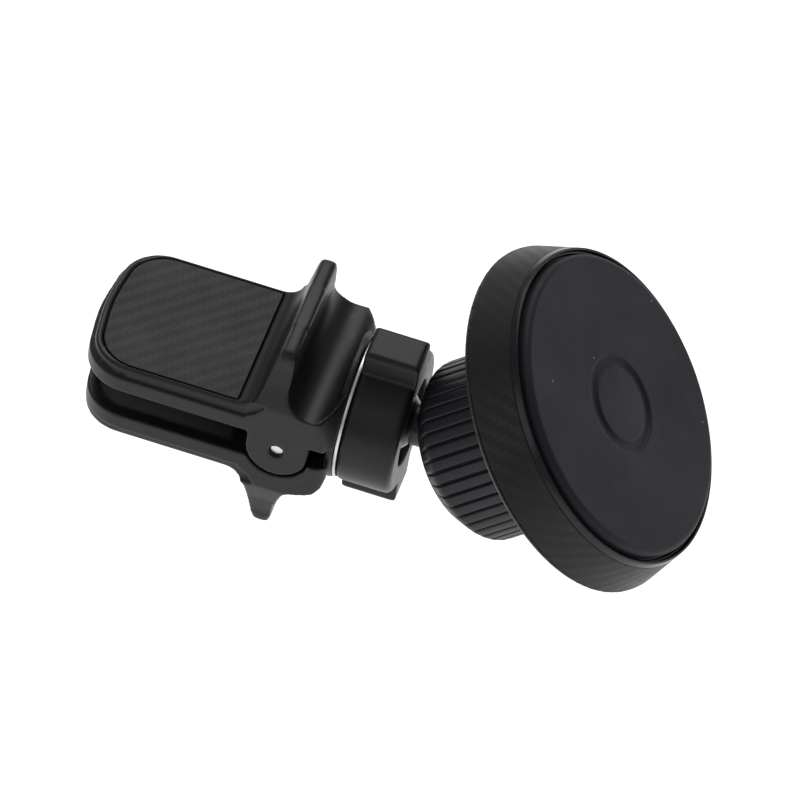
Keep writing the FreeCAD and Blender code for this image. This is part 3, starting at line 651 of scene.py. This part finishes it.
# ---- socket nut: ribs pressed into a turned blank ----------------------------------------
def rib_tree():
    tree, start, end = new_tree("nut_ribs", {
        "Ribs": "Int", "Radius": "Float", "Depth": "Float", "Groove": "Float",
        "Crown": "Float", "Material": "Material"})
    position = add(tree, "GeometryNodeInputPosition").outputs[0]
    x, y = add(tree, "ShaderNodeSeparateXYZ", {0: position}).outputs[:2]
    squares = calc(tree, "ADD", calc(tree, "MULTIPLY", x, x), calc(tree, "MULTIPLY", y, y))
    radius = calc(tree, "SQRT", squares)
    share = calc(tree, "DIVIDE", calc(tree, "ARCTAN2", y, x), 2 * math.pi)
    lane = calc(tree, "FRACT", calc(tree, "MULTIPLY_ADD", share, start.outputs["Ribs"], 0.25))
    off_middle = calc(tree, "ABSOLUTE", calc(tree, "SUBTRACT", lane, 0.5))
    pitch = calc(tree, "DIVIDE", calc(tree, "MULTIPLY", start.outputs["Radius"], 2 * math.pi),
                 start.outputs["Ribs"])
    to_groove = calc(tree, "MULTIPLY", calc(tree, "SUBTRACT", 0.5, off_middle), pitch)
    groove = add(tree, "ShaderNodeMapRange", {0: to_groove, 1: 0.0, 2: start.outputs["Groove"],
                                              3: start.outputs["Depth"], 4: 0.0},
                 interpolation_type="SMOOTHSTEP").outputs[0]
    side = calc(tree, "MULTIPLY", off_middle, 2.0)
    crown = calc(tree, "MULTIPLY", calc(tree, "MULTIPLY", side, side), start.outputs["Crown"])
    inner = calc(tree, "SUBTRACT", start.outputs["Radius"], RIB_INNER)
    full = calc(tree, "SUBTRACT", start.outputs["Radius"], RIB_FULL)
    outside = add(tree, "ShaderNodeMapRange", {0: radius, 1: inner, 2: full, 3: 0.0, 4: 1.0},
                  interpolation_type="SMOOTHSTEP").outputs[0]
    cut = calc(tree, "MULTIPLY", calc(tree, "ADD", groove, crown), outside)
    pull = calc(tree, "DIVIDE", cut, calc(tree, "MULTIPLY", radius, -1.0))
    offset = add(tree, "ShaderNodeCombineXYZ", {0: calc(tree, "MULTIPLY", x, pull),
                                                1: calc(tree, "MULTIPLY", y, pull)}).outputs[0]
    moved = add(tree, "GeometryNodeSetPosition", {0: start.outputs[0], "Offset": offset}).outputs[0]
    close_tree(tree, end, moved, start.outputs["Material"])
    return tree


nut_outer, nut_low, nut_high = reach("socket_nut", head_place)[1:]
seat_height = nut_low + NUT_SEAT
nut_blank = turned("ribbed_socket_nut", [
    (NUT_MOUTH_RADIUS - NUT_LIP, seat_height, 0), (NUT_MOUTH_RADIUS, nut_low, 0.3 * MM),
    (NUT_END_RADIUS, nut_low, 0.5 * MM), (nut_outer, nut_low + NUT_BEVEL, 1.5 * MM),
    (nut_outer, nut_high, 0.45 * MM), (NUT_BOSS_RADIUS, nut_high, 0.1 * MM),
    (NUT_BOSS_RADIUS, seat_height, 0)], segments=NUT_RIBS * 18, steps=8)
nut_mesh = grown("ribbed_socket_nut", nut_blank, "nut_plastic", rib_tree(), {
    "Ribs": NUT_RIBS, "Radius": float(nut_outer), "Depth": NUT_RIB_DEPTH,
    "Groove": NUT_GROOVE_HALF, "Crown": NUT_CROWN, "Material": finishes["nut_plastic"]})
socket_nut = placed("ribbed_socket_nut", nut_mesh, head_place, "nut_plastic")


# ---- grip pads: long ribs on a soft plate ------------------------------------------------
def grip_tree():
    tree, start, end = new_tree("grip_ribs", {
        "Count": "Int", "Pitch": "Float", "Radius": "Float", "Length": "Float",
        "First": "Vector", "Material": "Material"})
    step = add(tree, "ShaderNodeCombineXYZ", {0: start.outputs["Pitch"]}).outputs[0]
    line = add(tree, "GeometryNodeMeshLine", {"Count": start.outputs["Count"],
                                              "Start Location": start.outputs["First"],
                                              "Offset": step}).outputs[0]
    rib = add(tree, "GeometryNodeMeshCylinder", {"Vertices": 20, "Side Segments": 1,
                                                 "Radius": start.outputs["Radius"],
                                                 "Depth": start.outputs["Length"]})
    flat = add(tree, "GeometryNodeTransform", {0: rib.outputs[0],
                                               "Rotation": (math.pi / 2, 0, 0)}).outputs[0]
    ribs = add(tree, "GeometryNodeInstanceOnPoints", {"Points": line, "Instance": flat}).outputs[0]
    joined = add(tree, "GeometryNodeJoinGeometry", {0: ribs})
    tree.links.new(start.outputs[0], joined.inputs[0])
    close_tree(tree, end, joined.outputs[0], start.outputs["Material"])
    return tree


grip_ribs = grip_tree()


def grip_pad(name, node, side):
    """Plate copied from the CAD pad, kept back by a rib, with ribs standing to its face."""
    low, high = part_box(node)
    mesh = merged_copy(node)
    points = points_of(mesh)
    face = low.z if side > 0 else high.z
    on_face = np.abs(points[:, 2] - face) < 0.01 * MM
    points[on_face, 2] += side * GRIP_RIB_RADIUS * GRIP_RIB_SUNK
    mesh.vertices.foreach_set("co", points.ravel())
    mesh.update()
    length = high.y - low.y - GRIP_SHORT
    count = 2 * int((high.x - GRIP_SIDE) / GRIP_RIB_PITCH) + 1
    first = Vector((-GRIP_RIB_PITCH * (count - 1) / 2, low.y + GRIP_REAR + length / 2,
                    face + side * GRIP_RIB_RADIUS))
    made = grown(name, mesh, "soft_rubber", grip_ribs, {
        "Count": count, "Pitch": GRIP_RIB_PITCH, "Radius": GRIP_RIB_RADIUS,
        "Length": float(length), "First": first,
        "Material": finishes["soft_rubber"]})
    return new_piece(name, made, "soft_rubber")


upper_grip = grip_pad("upper_ribbed_grip", "upper_grip_pad", 1)
lower_grip = grip_pad("lower_ribbed_grip", "lower_grip_pad", -1)


# ---- torsion spring: wire wound round the pin, a leg into each jaw -----------------------
def spring_tree():
    tree, start, end = new_tree("torsion_spring", {
        "Turns": "Float", "Pitch": "Float", "Mean Radius": "Float", "Wire Radius": "Float",
        "Leg": "Float", "Material": "Material"})
    length = calc(tree, "MULTIPLY", start.outputs["Turns"], start.outputs["Pitch"])
    half = calc(tree, "MULTIPLY", length, 0.5)
    back = calc(tree, "MULTIPLY", length, -0.5)
    mean = start.outputs["Mean Radius"]
    spiral = add(tree, "GeometryNodeCurveSpiral", {
        "Resolution": 40, "Rotations": start.outputs["Turns"], "Start Radius": mean,
        "End Radius": mean, "Height": length}).outputs[0]
    down = add(tree, "ShaderNodeCombineXYZ", {2: back}).outputs[0]
    centred = add(tree, "GeometryNodeTransform", {0: spiral, "Translation": down}).outputs[0]

    def leg(side, height):
        reach_x = calc(tree, "MULTIPLY", mean, side)
        near = add(tree, "ShaderNodeCombineXYZ", {0: reach_x, 2: height}).outputs[0]
        far = add(tree, "ShaderNodeCombineXYZ", {0: reach_x, 1: start.outputs["Leg"],
                                                 2: height}).outputs[0]
        return add(tree, "GeometryNodeCurvePrimitiveLine", {"Start": near, "End": far}).outputs[0]

    joined = add(tree, "GeometryNodeJoinGeometry", {0: centred})
    tree.links.new(leg(1.0, back), joined.inputs[0])
    tree.links.new(leg(-1.0, half), joined.inputs[0])
    section = add(tree, "GeometryNodeCurvePrimitiveCircle", {
        "Resolution": 14, "Radius": start.outputs["Wire Radius"]})
    wire = add(tree, "GeometryNodeCurveToMesh", {0: joined.outputs[0], 1: section.outputs[0],
                                                 "Fill Caps": True}).outputs[0]
    close_tree(tree, end, wire, start.outputs["Material"])
    return tree


# local Z along the pin, local X up, local Y to the rear
spring_place = axis_place(pin_centre, Vector((1, 0, 0)), Vector((0, 0, 1)))
spring_mesh = grown("wound_torsion_spring", bpy.data.meshes.new("spring_start"), "spring_steel",
                    spring_tree(), {
                        "Turns": COIL_TURNS, "Pitch": COIL_PITCH, "Mean Radius": COIL_MEAN_RADIUS,
                        "Wire Radius": WIRE_RADIUS, "Leg": -SPRING_LEG,
                        "Material": finishes["spring_steel"]})
spring_mesh.transform(spring_place)
torsion_spring = new_piece("wound_torsion_spring", spring_mesh, "spring_steel")

# ---- pieces take the place of CAD nodes --------------------------------------------------
fit(upper_jaw, "clip", "black_plastic", "upper_jaw")
fit(upper_inlay, "clip", "carbon_look", "upper_inlay")
fit(upper_grip, "clip", "soft_rubber", "upper_grip_pad")
fit(hinge_pin, "clip", "steel_pin", "hinge_pin")
fit(torsion_spring, "clip", "spring_steel", "torsion_spring")
fit(ball_stud, "clip", "ball_plastic", "ball_stud")
fit(lower_jaw, "jaw", "black_plastic", "lower_jaw")
fit(lower_inlay, "jaw", "carbon_look", "lower_inlay")
fit(lower_grip, "jaw", "soft_rubber", "lower_grip_pad")
fit(collar, "clip", "collar_steel", "lock_collar")
fit(lock_ring, "ring", "ring_plastic", "lock_ring")
fit(socket_nut, "nut", "nut_plastic", "socket_nut")
fit(back_shell, "head", "black_plastic", "back_shell")
fit(rim_band, "head", "carbon_look", "rim_band")
fit(front_bezel, "head", "gloss_black", "front_bezel")
fit(face_pad, "head", "face_silicone", "face_pad")

# ---- inner CAD nodes keep their shape and get their finish -------------------------------
for node, finish in {
    "stud_screw": "screw_steel", "glide_cap": "liner_plastic", "socket_liner": "liner_plastic",
    "clamp_ring": "carrier_plastic", "magnet_carrier": "carrier_plastic", "magnets": "nickel",
    "steel_yoke": "yoke_steel", "carrier_screws": "screw_steel", "pad_adhesive": "adhesive",
}.items():
    for material_slot in frame["nodes"][node].material_slots:
        material_slot.link = "OBJECT"
        material_slot.material = finishes[finish]

# ---- floor, light and camera -------------------------------------------------------------
def pale_floor():
    corners = [(-FLOOR_HALF, -FLOOR_HALF, FLOOR_Z), (FLOOR_HALF, -FLOOR_HALF, FLOOR_Z),
               (FLOOR_HALF, FLOOR_HALF, FLOOR_Z), (-FLOOR_HALF, FLOOR_HALF, FLOOR_Z)]
    mesh = bpy.data.meshes.new("floor")
    mesh.from_pydata(corners, [], [(0, 1, 2, 3)])
    floor = bpy.data.objects.new("floor", mesh)
    bpy.context.scene.collection.objects.link(floor)
    material, tree, shader, coordinate = new_material("floor_white")
    paper = noise(tree, coordinate, 30, 3)
    white = tint(tree, paper, (0.88, 0.88, 0.88), (0.92, 0.92, 0.92))
    tree.links.new(white, shader.inputs["Base Color"])
    shader.inputs["Roughness"].default_value = 0.9
    shader.inputs["Specular IOR Level"].default_value = 0.1
    shader.inputs["Emission Color"].default_value = (1, 1, 1, 1)
    shader.inputs["Emission Strength"].default_value = FLOOR_GLOW
    mesh.materials.append(material)


def soft_box(name, position, size, power, target=Vector((0, -0.02, 0))):
    light = bpy.data.lights.new(name, "AREA")
    light.shape = "RECTANGLE"
    light.size, light.size_y = size
    light.energy = power
    lamp = bpy.data.objects.new(name, light)
    bpy.context.scene.collection.objects.link(lamp)
    lamp.location = position
    lamp.rotation_euler = (target - Vector(position)).to_track_quat("-Z", "Y").to_euler()


pale_floor()
soft_box("key_box", KEY_AT, KEY_SIZE, KEY_POWER)
soft_box("fill_box", FILL_AT, FILL_SIZE, FILL_POWER)

world = bpy.data.worlds.new("studio")
world.use_nodes = True
world.node_tree.nodes["Background"].inputs["Color"].default_value = (1, 1, 1, 1)
world.node_tree.nodes["Background"].inputs["Strength"].default_value = SKY_STRENGTH
bpy.context.scene.world = world
bpy.context.scene.view_settings.view_transform = "Standard"

CAMERA_RIGHT = Vector((0.2864, -0.9497, 0.1262))
CAMERA_UP = Vector((0.6778, 0.2940, 0.6739))
CAMERA_BACK = Vector((-0.6772, -0.1075, 0.7279))
CAMERA_DISTANCE = 1404.8 * MM
CAMERA_LEFT = 11.153 * MM
CAMERA_RISE = 5.819 * MM
CAMERA_LENS = 505.0

camera_data = bpy.data.cameras.new("camera")
camera = bpy.data.objects.new("camera", camera_data)
bpy.context.scene.collection.objects.link(camera)
turn = Matrix((CAMERA_RIGHT, CAMERA_UP, CAMERA_BACK)).transposed().to_4x4()
aim = Vector((0, -42.0 * MM, 0.77 * MM)) - CAMERA_RIGHT * CAMERA_LEFT + CAMERA_UP * CAMERA_RISE
camera.matrix_world = Matrix.Translation(aim + CAMERA_BACK * CAMERA_DISTANCE) @ turn
camera_data.sensor_width = 36.0
camera_data.lens = CAMERA_LENS
bpy.context.scene.camera = camera
